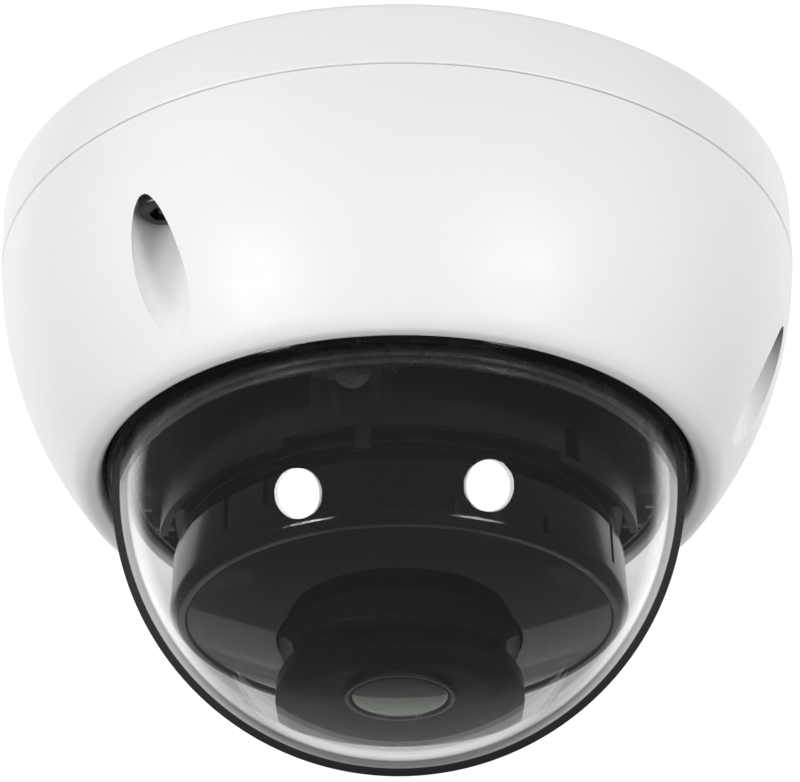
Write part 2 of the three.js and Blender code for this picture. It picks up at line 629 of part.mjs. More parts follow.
// Collar around the lens: round, with its lower sides drawn in.
const collar = revolve([
  [COLLAR_HOLE_R, COLLAR_Z[1]],
  [COLLAR_FLANGE_R, COLLAR_Z[1]],
  [COLLAR_FLANGE_R, COLLAR_FLANGE_Z],
  [COLLAR_R, COLLAR_FLANGE_Z],
  [COLLAR_R, COLLAR_Z[0] + 0.3],
  [COLLAR_R - 0.3, COLLAR_Z[0]],
  [COLLAR_HOLE_R, COLLAR_Z[0]],
]);
const taperHalf = [COLLAR_TAPER.low, COLLAR_TAPER.high, [25, COLLAR_TAPER.high[1] + 0.1], [25, -60]];
const taperOther = taperHalf.map(([x, z]) => [-x, z]).reverse();
const taper = new THREE.Shape([...taperHalf, ...taperOther].map(([x, z]) => new THREE.Vector2(x, z)));
place('lens_collar', collar.intersect(prism(taper, -30, 30).rotate([90, 0, 0])), blackSatin, head);

// Outline of the lens block: straight sides and large elliptic corners at the front.
function blockOutline(inset) {
  const x = BLOCK_HALF_X - inset;
  const [near, far] = [BLOCK_Y[0] + inset, BLOCK_Y[1]];
  const [wide, deep] = BLOCK_CORNER;
  const shape = new THREE.Shape();
  shape.moveTo(-x + wide, near);
  shape.lineTo(x - wide, near);
  shape.absellipse(x - wide, near + deep, wide, deep, -Math.PI / 2, 0, false);
  shape.lineTo(x, far);
  shape.lineTo(-x, far);
  shape.lineTo(-x, near + deep);
  shape.absellipse(-x + wide, near + deep, wide, deep, Math.PI, 1.5 * Math.PI, false);
  return shape;
}
const BEVEL_LEVELS = [[0, BLOCK_WALL_Z], [0.8, -78.2], [2, -78.9], [3.4, BLOCK_FACE_Z]];
let block = prism(blockOutline(0), BLOCK_WALL_Z, COLLAR_Z[0]);
for (let i = 1; i < BEVEL_LEVELS.length; i += 1) {
  const [inset, low] = BEVEL_LEVELS[i];
  const high = BEVEL_LEVELS[i - 1][1];
  block = block.add(prism(blockOutline(inset), low, high));
}
const sweep = solid(new THREE.SphereGeometry(SWEEP_R, 32, 16).rotateX(Math.PI / 2).translate(0, 0, BUBBLE_Z));
block = block.intersect(sweep).subtract(rod(LENS_R + 0.1, -90, -60, 0, 0, 32));
place('lens_block', block, blackSatin, head);

// ---------------------------------------------------------------- lens and sensor
const holder = cut(
  joined(box([-9, -9, -62], [9, 9, -56.6]), rod(9, -68, -60, 0, 0, 24)),
  box([-6, -6, -60.5], [6, 6, -56]),
  rod(7.1, -69, -60, 0, 0, 24),
);
place('lens_holder', holder, blackSatin, head);
place('sensor_board', box([-14, -14, -56.6], [14, 14, -55.4]), boardGreen, head);
place('image_sensor', box([-4.5, -4, -57.6], [4.5, 4, -56.6]), chipBlack, head);
place('lens_barrel', ring(...BARREL_R, ...BARREL_Z, 24), darkSteel, head);
const lensRing = revolve([
  [7.1, -76.5],
  [LENS_R, -76.5],
  [LENS_R, RIM_Z + 0.25],
  [LENS_R - 0.25, RIM_Z],
  [7.3, RIM_Z],
  [7.1, BARREL_Z[0]],
], 24);
place('lens_ring', lensRing, blackSatin, head);
const frontGlass = revolve([
  [0, BARREL_Z[0]],
  [BARREL_R[1], BARREL_Z[0]],
  [BARREL_R[1], -79.9],
  [5.6, -80.25],
  [3.6, -80.5],
  [1.8, -80.63],
  [0, -80.67],
], 20);
place('lens_front_glass', frontGlass, lensGlass, head);

export default camera;
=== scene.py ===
import math

import bmesh
import bpy
from mathutils import Matrix, Vector


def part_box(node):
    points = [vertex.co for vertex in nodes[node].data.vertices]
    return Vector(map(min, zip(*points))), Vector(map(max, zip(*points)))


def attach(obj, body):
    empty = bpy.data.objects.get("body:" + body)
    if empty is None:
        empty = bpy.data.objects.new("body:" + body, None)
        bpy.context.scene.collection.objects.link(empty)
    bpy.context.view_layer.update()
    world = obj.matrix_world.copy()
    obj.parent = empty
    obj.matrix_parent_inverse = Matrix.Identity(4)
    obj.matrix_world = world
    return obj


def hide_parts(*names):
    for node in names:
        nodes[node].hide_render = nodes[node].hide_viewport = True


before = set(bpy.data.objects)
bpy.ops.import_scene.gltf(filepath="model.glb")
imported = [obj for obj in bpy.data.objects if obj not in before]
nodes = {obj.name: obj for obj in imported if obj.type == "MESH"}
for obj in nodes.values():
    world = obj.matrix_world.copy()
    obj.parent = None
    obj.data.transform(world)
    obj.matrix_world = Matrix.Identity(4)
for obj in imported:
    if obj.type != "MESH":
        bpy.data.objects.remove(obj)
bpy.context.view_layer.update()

# Sizes are in millimetres with the ceiling face at z = 0, and MM turns them into metres.
MM = 0.001


def cad(node, corner, axis):
    """One coordinate of a CAD node's box, in millimetres. corner 0 is the low one."""
    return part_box(node)[corner][axis] / MM


# ---------------------------------------------------------------- sizes
BASE_R = cad("base_housing", 1, 0)
BASE_WALL_R = 57.4  # inside of the wall
BASE_BOTTOM = -10.3
BASE_FLOOR_Z = -3.0
SEAL_R = (58.4, 60)
SEAL_SEAT_Z = -9.1
SEAT_BOSS_R, SEAT_BORE_R, SEAT_BORE_TOP = 3.3, 1.75, -1.2
CHASSIS_POSTS_R, CHASSIS_AZIMUTHS = 43.6, (10, 130, 250)
CHASSIS_BOSS_R, CHASSIS_BORE_R, CHASSIS_BORE_TOP, CHASSIS_TOP = 3.0, 1.1, -4, -11.0
BOARD_POSTS_R, BOARD_AZIMUTHS = 33.0, (60, 150, 285)
BOARD_BOSS_R, BOARD_BORE_R, BOARD_BORE_TOP, BOARD_TOP = 2.6, 1.0, -2, -6.6
MOUNT_CIRCLE_R, MOUNT_AZIMUTHS = 50.6, (22, 142, 262)
MOUNT_PAD_R, MOUNT_PAD_Z, MOUNT_HOLE_R, MOUNT_SINK_R, MOUNT_SINK_Z = 5.0, -4.0, 2.4, 4.2, -0.9
GROMMET_R, GROMMET_Y = 8, 24

COVER_TOP = -10.6
COVER_LOW = cad("cover_shell", 0, 2)
COVER_ARC_R = 62.8
COVER_ARC = (math.radians(3), math.radians(37))
COVER_TOP_R = 60.9
COVER_WALL = 2.7
LIP_R = (44.9, 46.9)  # corners of the lip round the opening, before rounding
LIP_ROUND = (1.3, 1.9)
OPENING_R = 44.5
OPENING_EDGE_Z = -44.6
LEDGE_Z = -42.0
SCREW_AZIMUTHS = {"front_left": -38, "right": 82, "rear": 202}
SCREW_CIRCLE_R = 54.7
POCKET_R = 4.3
POCKET_FLOOR = -21.5
POCKET_WALL_R = 6.1
POCKET_WALL_INSET = 0.6  # keeps the pocket walls behind the cover's outer face
POCKET_COLUMN_R = 4
SCREW_BORE_R = 1.9
SCREW_HEAD_R, SCREW_HEAD_T, SCREW_SHAFT_R, SCREW_TIP_Z = 3.5, 2.7, 1.6, -3.5
SCREW_RECESS_R, SCREW_PIN_R = 1.9, 0.6

BUBBLE_LOW = cad("dome_bubble", 0, 2)
BUBBLE_R = 43.0
BUBBLE_WALL = 2.2
BUBBLE_Z = BUBBLE_LOW + BUBBLE_R
NECK_R = 43.9
FLANGE_R = 47.2
FLANGE_Z = (-41.2, -39.8)
GASKET_R = (44.0, 44.4)
GASKET_EDGE_Z = -43.9
LINER_R = (39.9, 40.4)
LINER_WALL_R = (47.5, 48.1)
LINER_FLANGE_Z = (-38.2, -37.2)
LINER_TOP_Z = -14
LINER_EDGE_Z = -48.4
LINER_REAR_EDGE_Z = -46.2
LINER_REAR = (75, 285)  # azimuths of the shorter rear part

SHROUD_R = (34.2, 35.4)
SHROUD_Z = (-56.3, -41)
SHROUD_HALF_ANGLE = 81.5
SHROUD_BAY, SHROUD_BAY_TOP = (-27, 40), -54.9
SHROUD_SLOT_AZIMUTH, SHROUD_SLOT_WIDTH, SHROUD_SLOT_Z = 44, 2.6, (-55.2, -46.5)
SHROUD_TAB_AZIMUTH, SHROUD_TAB_HALF, SHROUD_TAB_Z = -8, 1.2, (-58.4, -54)
LOCK_AZIMUTH = -10
LOCK_TIP = 118  # degrees about X, from upright
LOCK_AT = (0, -34.6, -45.4)
RING_R = (29.6, 32)
RING_Z = (-55.8, -47.2)
EAR_X = (30, 33.3)
EAR_R = 5.4
EAR_FOOT_Z = -52
PIVOT_R = 2

DRUM_R = cad("module_bezel", 1, 0)
DRUM_LOW = cad("module_bezel", 0, 2)
DRUM_TOP = cad("module_bezel", 1, 2)
DRUM_RIM_R = 32
DRUM_SLOT_DEPTH = 0.9
DRUM_SLOTS = (  # azimuth, width, low z, high z
    (-47, 1, -64.6, -58),
    (-34, 1, -63.3, -58),
    (13, 0.9, -67.3, -65),
    (38, 0.9, -67.3, -64.4),
    (66, 1, -65.4, -58),
)
WINDOW_R = 30.9
WINDOW_HOLE_R = 17.8
WINDOW_SEAT_Z, WINDOW_T, WINDOW_EDGE_Z, WINDOW_LOW = -67, 1.6, -68.5, -71.3
COLLAR_R = (12.5, 17.6)
COLLAR_Z = (-75.5, -66.5)
COLLAR_FOOT_R, COLLAR_FOOT_Z = 20, -67.9
COLLAR_SIDE_X, COLLAR_SIDE_Z = 17.7, -71.4
COLLAR_LEAN = math.atan2(2.5, 4.1)
BLOCK_HALF_X = 18.3
BLOCK_Y = (-11.8, 27)
BLOCK_CORNER = (11, 20)  # half-axes of the elliptic front corners, in X and Y
BLOCK_WALL_Z = -77.4
BLOCK_BEVEL = (3.4, 2.0)  # inwards and down
BLOCK_BEVEL_STEPS = (0.12, 0.3, 0.5, 0.7, 0.88, 1.0)
SWEEP_R = 39.5
LENS_RING_R = (7.1, 8)
LENS_RING_Z = (-80.25, -76.5)
GLASS_R = 7.0
GLASS_Z = (-79.9, -78.9)
GLASS_DOME = 0.77
AROUND = 192  # corners round a large circle


# ---------------------------------------------------------------- mesh helpers
def new_object(name, mesh):
    piece = bpy.data.objects.new(name, mesh)
    bpy.context.scene.collection.objects.link(piece)
    return piece


def from_bmesh(name, mesh):
    data = bpy.data.meshes.new(name)
    mesh.to_mesh(data)
    mesh.free()
    return new_object(name, data)


def smooth(piece, angle=32):
    """Smooth shading that keeps edges sharper than angle."""
    piece.data.shade_smooth()
    piece.data.set_sharp_from_angle(angle=math.radians(angle))
    return piece


def rounded(profile, steps=5):
    """A closed outline of (r, z, radius) corners, each rounded by its own radius."""
    outline = []
    count = len(profile)
    for k, (r, z, radius) in enumerate(profile):
        here = Vector((r, z))
        if radius == 0:
            outline.append(here)
            continue
        before = Vector(profile[k - 1][:2]) - here
        after = Vector(profile[(k + 1) % count][:2]) - here
        half = before.angle(after) / 2
        reach = min(radius / math.tan(half), 0.49 * before.length, 0.49 * after.length)
        start = here + before.normalized() * reach
        end = here + after.normalized() * reach
        for i in range(steps + 1):
            t = i / steps
            outline.append(start * (1 - t) ** 2 + here * 2 * t * (1 - t) + end * t ** 2)
    return outline


def revolve(name, outline, segments=AROUND):
    """A closed outline of (r, z) turned about Z, in millimetres. r = 0 closes on the axis."""
    mesh = bmesh.new()
    rings = []
    for r, z in outline:
        if r < 1e-6:
            rings.append([mesh.verts.new((0, 0, z * MM))] * segments)
            continue
        turn = [2 * math.pi * k / segments for k in range(segments)]
        rings.append([mesh.verts.new((r * MM * math.cos(a), r * MM * math.sin(a), z * MM)) for a in turn])
    for k, ring in enumerate(rings):
        following = rings[(k + 1) % len(rings)]
        for i in range(segments):
            j = (i + 1) % segments
            corners = dict.fromkeys([ring[i], ring[j], following[j], following[i]])
            if len(corners) > 2:
                mesh.faces.new(corners)
    bmesh.ops.recalc_face_normals(mesh, faces=mesh.faces)
    return from_bmesh(name, mesh)


def tube(name, inner, outer, low, high, edge=0.15, segments=AROUND):
    corners = [(inner, low, edge), (outer, low, edge), (outer, high, edge), (inner, high, edge)]
    return revolve(name, rounded(corners, 3), segments)


def rod(name, radius, low, high, x=0.0, y=0.0, edge=0.0, segments=48):
    corners = [(0, low, 0), (radius, low, edge), (radius, high, edge), (0, high, 0)]
    piece = revolve(name, rounded(corners, 4), segments)
    piece.data.transform(Matrix.Translation((x * MM, y * MM, 0)))
    return piece


def block(name, low, high, bevel=0.0):
    mesh = bmesh.new()
    bmesh.ops.create_cube(mesh, size=1)
    size = [(b - a) * MM for a, b in zip(low, high)]
    middle = [(b + a) / 2 * MM for a, b in zip(low, high)]
    bmesh.ops.scale(mesh, vec=size, verts=mesh.verts)
    bmesh.ops.translate(mesh, vec=middle, verts=mesh.verts)
    if bevel:
        bmesh.ops.bevel(mesh, geom=mesh.edges, offset=bevel * MM, segments=3, profile=0.5, affect="EDGES")
    return from_bmesh(name, mesh)


def on_circle(radius, azimuth):
    """A point at an azimuth from the front (-Y) towards the right (+X)."""
    angle = math.radians(azimuth)
    return radius * math.sin(angle), -radius * math.cos(angle)


def turned(piece, azimuth):
    piece.data.transform(Matrix.Rotation(math.radians(azimuth), 4, "Z"))
    return piece


def carve(piece, tools, operation="DIFFERENCE"):
    """Applies the tools to the piece and removes them. Every tool is a closed mesh."""
    for tool in tools:
        modifier = piece.modifiers.new("carve", "BOOLEAN")
        modifier.object = tool
        modifier.operation = operation
        modifier.solver = "MANIFOLD"
    graph = bpy.context.evaluated_depsgraph_get()
    result = bpy.data.meshes.new_from_object(piece.evaluated_get(graph))
    piece.modifiers.clear()
    piece.data = result
    for tool in tools:
        bpy.data.objects.remove(tool)
    return piece


def sector_cutter(name, start, end, low, high):
    """A pie slice about Z that takes out the azimuths between start and end."""
    steps = 24
    reach = 60
    mesh = bmesh.new()
    outline = [(0, 0)] + [on_circle(reach, start + (end - start) * k / steps) for k in range(steps + 1)]
    lower = [mesh.verts.new((x * MM, y * MM, low * MM)) for x, y in outline]
    upper = [mesh.verts.new((x * MM, y * MM, high * MM)) for x, y in outline]
    mesh.faces.new(lower[::-1])
    mesh.faces.new(upper)
    for k in range(len(outline)):
        j = (k + 1) % len(outline)
        mesh.faces.new([lower[k], lower[j], upper[j], upper[k]])
    bmesh.ops.recalc_face_normals(mesh, faces=mesh.faces)
    return from_bmesh(name, mesh)


# ---------------------------------------------------------------- materials
def material(name, color, roughness, metallic=0.0):
    made = bpy.data.materials.new(name)
    made.use_nodes = True
    shader = made.node_tree.nodes["Principled BSDF"]
    shader.inputs["Base Color"].default_value = (*color, 1)
    shader.inputs["Roughness"].default_value = roughness
    shader.inputs["Metallic"].default_value = metallic
    return made, shader


def noise(tree, scale, detail=4.0):
    where = tree.nodes.new("ShaderNodeTexCoord")
    texture = tree.nodes.new("ShaderNodeTexNoise")
    texture.inputs["Scale"].default_value = scale
    texture.inputs["Detail"].default_value = detail
    tree.links.new(where.outputs["Object"], texture.inputs["Vector"])
    return texture.outputs["Fac"]


def ramp(tree, source, low, high, start=0.35, end=0.65):
    """Maps a grey source between two colours."""
    node = tree.nodes.new("ShaderNodeValToRGB")
    node.color_ramp.elements[0].position = start
    node.color_ramp.elements[1].position = end
    node.color_ramp.elements[0].color = (*low, 1)
    node.color_ramp.elements[1].color = (*high, 1)
    tree.links.new(source, node.inputs["Fac"])
    return node.outputs["Color"]


def spread(tree, source, low, high):
    """Maps a grey source between two numbers."""
    node = tree.nodes.new("ShaderNodeMapRange")
    node.inputs["From Min"].default_value = 0.3
    node.inputs["From Max"].default_value = 0.7
    node.inputs["To Min"].default_value = low
    node.inputs["To Max"].default_value = high
    tree.links.new(source, node.inputs["Value"])
    return node.outputs["Result"]


def bump(tree, source, shader, distance, strength=0.5):
    node = tree.nodes.new("ShaderNodeBump")
    node.inputs["Strength"].default_value = strength
    node.inputs["Distance"].default_value = distance * MM
    tree.links.new(source, node.inputs["Height"])
    tree.links.new(node.outputs["Normal"], shader.inputs["Normal"])


def textured(name, color, variation, roughness, grain, depth, metallic=0.0, strength=0.5, shine=0.5):
    """A moulded or coated surface: slow colour drift, uneven gloss and a fine grain."""
    made, shader = material(name, color, sum(roughness) / 2, metallic)
    shader.inputs["Specular IOR Level"].default_value = shine
    tree = made.node_tree
    slow = noise(tree, 35, 3)
    paler = [min(1, value * (1 + variation)) for value in color]
    darker = [value * (1 - variation) for value in color]
    tree.links.new(ramp(tree, slow, darker, paler), shader.inputs["Base Color"])
    tree.links.new(spread(tree, noise(tree, 260, 5), *roughness), shader.inputs["Roughness"])
    bump(tree, noise(tree, grain, 3), shader, depth, strength)
    return made


white_coat = textured("white_coat", (0.86, 0.86, 0.86), 0.01, (0.36, 0.44), 1500, 0.02, strength=0.25)
black_satin = textured("black_satin", (0.012, 0.012, 0.0125), 0.2, (0.3, 0.4), 2400, 0.015, strength=0.3)
black_liner = textured("black_liner", (0.011, 0.011, 0.012), 0.2, (0.24, 0.3), 1800, 0.01, strength=0.15)
black_polished = textured(
    "black_polished", (0.012, 0.012, 0.0125), 0.2, (0.13, 0.18), 2400, 0.008, strength=0.15
)
black_matt = textured(
    "black_matt", (0.007, 0.007, 0.007), 0.25, (0.5, 0.62), 2400, 0.02, strength=0.3, shine=0.2
)
soft_rubber = textured("soft_rubber", (0.016, 0.016, 0.016), 0.2, (0.6, 0.75), 1600, 0.04)
black_coated = textured("black_coated", (0.02, 0.02, 0.021), 0.2, (0.4, 0.55), 2000, 0.03, metallic=0.3)
dark_screw = textured("dark_screw", (0.10, 0.10, 0.105), 0.2, (0.25, 0.4), 900, 0.02, metallic=0.9)
chip_black = textured("chip_black", (0.02, 0.02, 0.022), 0.15, (0.5, 0.65), 3000, 0.02)
ivory_plastic = textured("ivory_plastic", (0.70, 0.66, 0.55), 0.04, (0.4, 0.5), 1800, 0.02)
pad_grey = textured("pad_grey", (0.26, 0.28, 0.30), 0.1, (0.7, 0.85), 900, 0.05)

# A soft bloom at grazing angles: sheen weight of each moulded black.
SHEEN_ROUGHNESS = 0.35
for sheened, sheen in ((black_liner, 0.4), (black_polished, 0.5), (black_satin, 0.12)):
    gloss = sheened.node_tree.nodes["Principled BSDF"]
    gloss.inputs["Sheen Weight"].default_value = sheen
    gloss.inputs["Sheen Roughness"].default_value = SHEEN_ROUGHNESS


def make_steel():
    """Bright steel with a fine noise grain in its colour, gloss and surface."""
    made, shader = material("bright_steel", (0.62, 0.62, 0.61), 0.28, 1.0)
    tree = made.node_tree
    grain = noise(tree, 1800, 6)
    tree.links.new(ramp(tree, grain, (0.50, 0.50, 0.50), (0.70, 0.70, 0.69)), shader.inputs["Base Color"])
    tree.links.new(spread(tree, grain, 0.2, 0.36), shader.inputs["Roughness"])
    bump(tree, grain, shader, 0.02, 0.3)
    return made


def make_board():
    """Green solder mask over a grid of copper tracks."""
    made, shader = material("circuit_board", (0.01, 0.09, 0.04), 0.35)
    tree = made.node_tree
    where = tree.nodes.new("ShaderNodeTexCoord")
    tracks = tree.nodes.new("ShaderNodeTexBrick")
    tracks.inputs["Scale"].default_value = 420
    tracks.inputs["Mortar Size"].default_value = 0.035
    tracks.inputs["Color1"].default_value = (0.008, 0.075, 0.032, 1)
    tracks.inputs["Color2"].default_value = (0.010, 0.090, 0.040, 1)
    tracks.inputs["Mortar"].default_value = (0.020, 0.150, 0.070, 1)
    tree.links.new(where.outputs["Object"], tracks.inputs["Vector"])
    tree.links.new(tracks.outputs["Color"], shader.inputs["Base Color"])
    bump(tree, tracks.outputs["Fac"], shader, 0.03, 0.4)
    tree.links.new(spread(tree, noise(tree, 500), 0.28, 0.42), shader.inputs["Roughness"])
    return made


def make_window():
    """Dark infrared-passing polycarbonate with a polished face and a trace of haze."""
    made, shader = material("dark_window", (0.006, 0.006, 0.007), 0.06)
    shader.inputs["Specular IOR Level"].default_value = 0.3
    tree = made.node_tree
    haze = noise(tree, 90, 4)
    tint = ramp(tree, haze, (0.005, 0.005, 0.006), (0.008, 0.008, 0.009))
    tree.links.new(tint, shader.inputs["Base Color"])
    tree.links.new(spread(tree, haze, 0.04, 0.09), shader.inputs["Roughness"])
    bump(tree, noise(tree, 40, 2), shader, 0.01, 0.1)
    return made


def make_clear(name, tint, ior, density, roughness):
    """Clear moulded plastic or glass with faint ripples and a slight tint in its depth."""
    made, shader = material(name, (1, 1, 1), roughness)
    shader.inputs["Transmission Weight"].default_value = 1
    shader.inputs["IOR"].default_value = ior
    tree = made.node_tree
    ripple = noise(tree, 22, 2)
    tree.links.new(ramp(tree, ripple, (0.985, 0.985, 0.985), (1, 1, 1)), shader.inputs["Base Color"])
    bump(tree, ripple, shader, 0.02, 0.05)
    depth = tree.nodes.new("ShaderNodeVolumeAbsorption")
    depth.inputs["Color"].default_value = (*tint, 1)
    depth.inputs["Density"].default_value = density
    tree.links.new(depth.outputs["Volume"], tree.nodes["Material Output"].inputs["Volume"])
    return made


def paint_rim_shade(made):
    """Paints shade into the bubble's outside: its colour goes grey, then black, where it is seen almost
    edge-on.

    The facing value is 1 minus the cosine of the angle to the surface. The inner wall ends at
    clear_to, and dark_from is where the wall's own edge turns dark.
    """
    clear_to, grey_from, grey_to, dark_from = 0.655, 0.68, 0.745, 0.77
    fade_from = 0.75
    # Colours of the painted grey band and the painted dark rim.
    grey, dark = (0.03, 0.03, 0.03, 1), (0.04, 0.04, 0.042, 1)
    neck_overlap = 0.3
    tree = made.node_tree
    shader = tree.nodes["Principled BSDF"]

    def calculate(operation, first, second):
        node = tree.nodes.new("ShaderNodeMath")
        node.operation = operation
        for socket, value in zip(node.inputs, (first, second)):
            if isinstance(value, float):
                socket.default_value = value
            else:
                tree.links.new(value, socket)
        return node.outputs["Value"]

    where = tree.nodes.new("ShaderNodeTexCoord")
    parts = tree.nodes.new("ShaderNodeSeparateXYZ")
    tree.links.new(where.outputs["Object"], parts.inputs["Vector"])
    away = tree.nodes.new("ShaderNodeVectorMath")
    away.operation = "DISTANCE"
    away.inputs[1].default_value = (0, 0, BUBBLE_Z * MM)
    tree.links.new(where.outputs["Object"], away.inputs[0])
    outside = calculate("GREATER_THAN", away.outputs["Value"], (BUBBLE_R - BUBBLE_WALL / 2) * MM)
    ball = calculate("LESS_THAN", parts.outputs["Z"], (BUBBLE_Z + neck_overlap) * MM)
    slope = tree.nodes.new("ShaderNodeLayerWeight")
    slope.inputs["Blend"].default_value = 0.5
    edge = calculate("MULTIPLY", slope.outputs["Facing"], calculate("MULTIPLY", outside, ball))
    # Painted shade: the rim's colour turns grey, then near black, the more edge-on the surface is seen.
    painted_rim_shade = tree.nodes.new("ShaderNodeValToRGB")
    stops = painted_rim_shade.color_ramp.elements
    stops[0].position, stops[0].color = clear_to, (1, 1, 1, 1)
    stops[1].position, stops[1].color = dark_from, dark
    for position in (grey_from, grey_to):
        stops.new(position).color = grey
    tree.links.new(edge, painted_rim_shade.inputs["Fac"])
    old = shader.inputs["Base Color"].links[0].from_socket
    tinted = tree.nodes.new("ShaderNodeMix")
    tinted.data_type = "RGBA"
    tinted.blend_type = "MULTIPLY"
    tinted.inputs["Factor"].default_value = 1
    colours = [socket for socket in tinted.inputs if socket.type == "RGBA"]
    tree.links.new(old, colours[0])
    tree.links.new(painted_rim_shade.outputs["Color"], colours[1])
    result = [socket for socket in tinted.outputs if socket.type == "RGBA"][0]
    tree.links.new(result, shader.inputs["Base Color"])
    fade = tree.nodes.new("ShaderNodeMapRange")
    fade.inputs["From Min"].default_value = fade_from
    fade.inputs["From Max"].default_value = dark_from
    fade.inputs["To Min"].default_value = 1
    fade.inputs["To Max"].default_value = 0
    tree.links.new(edge, fade.inputs["Value"])
    tree.links.new(fade.outputs["Result"], shader.inputs["Transmission Weight"])
    level = calculate("MULTIPLY", fade.outputs["Result"], 0.5)
    tree.links.new(level, shader.inputs["Specular IOR Level"])
    return made


def make_coated_glass():
    """Dark front lens with a faint green-gold coat; its base colour is lighter towards the middle, a
    painted reflection of the lens elements behind it.
    """
    made, shader = material("coated_glass", (0.02, 0.022, 0.018), 0.04)
    tree = made.node_tree
    where = tree.nodes.new("ShaderNodeTexCoord")
    centre = tree.nodes.new("ShaderNodeMapping")
    centre.inputs["Scale"].default_value = (1 / (GLASS_R * MM), 1 / (GLASS_R * MM), 0)
    rings = tree.nodes.new("ShaderNodeTexGradient")
    rings.gradient_type = "SPHERICAL"
    tree.links.new(where.outputs["Object"], centre.inputs["Vector"])
    tree.links.new(centre.outputs["Vector"], rings.inputs["Vector"])
    # Painted reflection: the base colour gets lighter towards the middle of the glass.
    painted_centre_reflection = ramp(tree, rings.outputs["Color"], (0.010, 0.011, 0.010), (0.040, 0.042, 0.032), 0.2, 1.0)
    tree.links.new(painted_centre_reflection, shader.inputs["Base Color"])
    tree.links.new(spread(tree, noise(tree, 300), 0.02, 0.06), shader.inputs["Roughness"])
    shader.inputs["Coat Weight"].default_value = 0.6
    shader.inputs["Coat Tint"].default_value = (0.85, 1.0, 0.8, 1)
    return made


bright_steel = make_steel()
circuit_board = make_board()
dark_window = make_window()
bubble_clear = paint_rim_shade(make_clear("bubble_clear", (0.80, 0.83, 0.84), 1.58, 8, 0.0))
led_clear = make_clear("led_clear", (0.9, 0.9, 0.85), 1.5, 5, 0.05)
coated_glass = make_coated_glass()


def dress(piece, body, slot, look, *replaced):
    """Gives a finished piece its material and body, and hides what it stands for."""
    piece.data.materials.clear()
    piece.data.materials.append(look)
    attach(piece, body)
    if replaced:
        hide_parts(*replaced)
    return piece


# ---------------------------------------------------------------- base
def make_base():
    step_r, rim_r = SEAL_R
    outline = rounded([
        (0, 0, 0),
        (BASE_R, 0, 0.9),
        (BASE_R, BASE_BOTTOM, 0.35),
        (rim_r, BASE_BOTTOM, 0.1),
        (rim_r, SEAL_SEAT_Z, 0),
        (step_r, SEAL_SEAT_Z, 0),
        (step_r, BASE_BOTTOM, 0.1),
        (BASE_WALL_R, BASE_BOTTOM, 0.2),
        (BASE_WALL_R, BASE_FLOOR_Z, 0.6),
        (0, BASE_FLOOR_Z, 0),
    ])
    base = revolve("base", outline)
    seats = SCREW_CIRCLE_R, SCREW_AZIMUTHS.values()
    chassis = CHASSIS_POSTS_R, CHASSIS_AZIMUTHS
    board = BOARD_POSTS_R, BOARD_AZIMUTHS
    mounts = MOUNT_CIRCLE_R, MOUNT_AZIMUTHS

    def columns(places, radius, low, high, edge, segments):
        circle, azimuths = places
        return [rod("column", radius, low, high, *on_circle(circle, a), edge, segments) for a in azimuths]

    buried = BASE_FLOOR_Z + 1  # posts start inside the floor
    posts = columns(seats, SEAT_BOSS_R, BASE_BOTTOM, buried, 0.2, 32)
    posts += columns(chassis, CHASSIS_BOSS_R, CHASSIS_TOP, buried, 0.2, 32)
    posts += columns(board, BOARD_BOSS_R, BOARD_TOP, buried, 0.2, 32)
    posts += columns(mounts, MOUNT_PAD_R, MOUNT_PAD_Z, buried, 0.2, 32)
    carve(base, posts, "UNION")
    holes = columns(mounts, MOUNT_HOLE_R, -5, 1, 0.0, 48)
    holes += columns(mounts, MOUNT_SINK_R, MOUNT_SINK_Z, 1, 0.0, 48)
    holes += columns(seats, SEAT_BORE_R, -12, SEAT_BORE_TOP, 0, 24)
    holes += columns(chassis, CHASSIS_BORE_R, -12, CHASSIS_BORE_TOP, 0, 24)
    holes += columns(board, BOARD_BORE_R, -8, BOARD_BORE_TOP, 0, 24)
    holes.append(rod("inlet", GROMMET_R, -5, 1, 0, GROMMET_Y))
    carve(base, holes)
    return dress(smooth(base), "base", "white_cast", white_coat, "base_housing")


make_base()
seal = tube("seal", *SEAL_R, COVER_TOP, SEAL_SEAT_Z)
dress(smooth(seal), "base", "rubber", soft_rubber, "base_seal")


# ---------------------------------------------------------------- cover
def cover_point(angle):
    """A point of the cover's outer face, where the arc has turned by angle from upright."""
    r = COVER_TOP_R - COVER_ARC_R * (math.cos(COVER_ARC[0]) - math.cos(angle))
    z = COVER_TOP - COVER_ARC_R * (math.sin(angle) - math.sin(COVER_ARC[0]))
    return Vector((r, z))


def cover_radius(z):
    return cover_point(math.asin((COVER_TOP - z) / COVER_ARC_R + math.sin(COVER_ARC[0])))[0]


def cover_side(steps=28):
    start, end = COVER_ARC
    return [cover_point(start + (end - start) * k / steps) for k in range(steps + 1)]


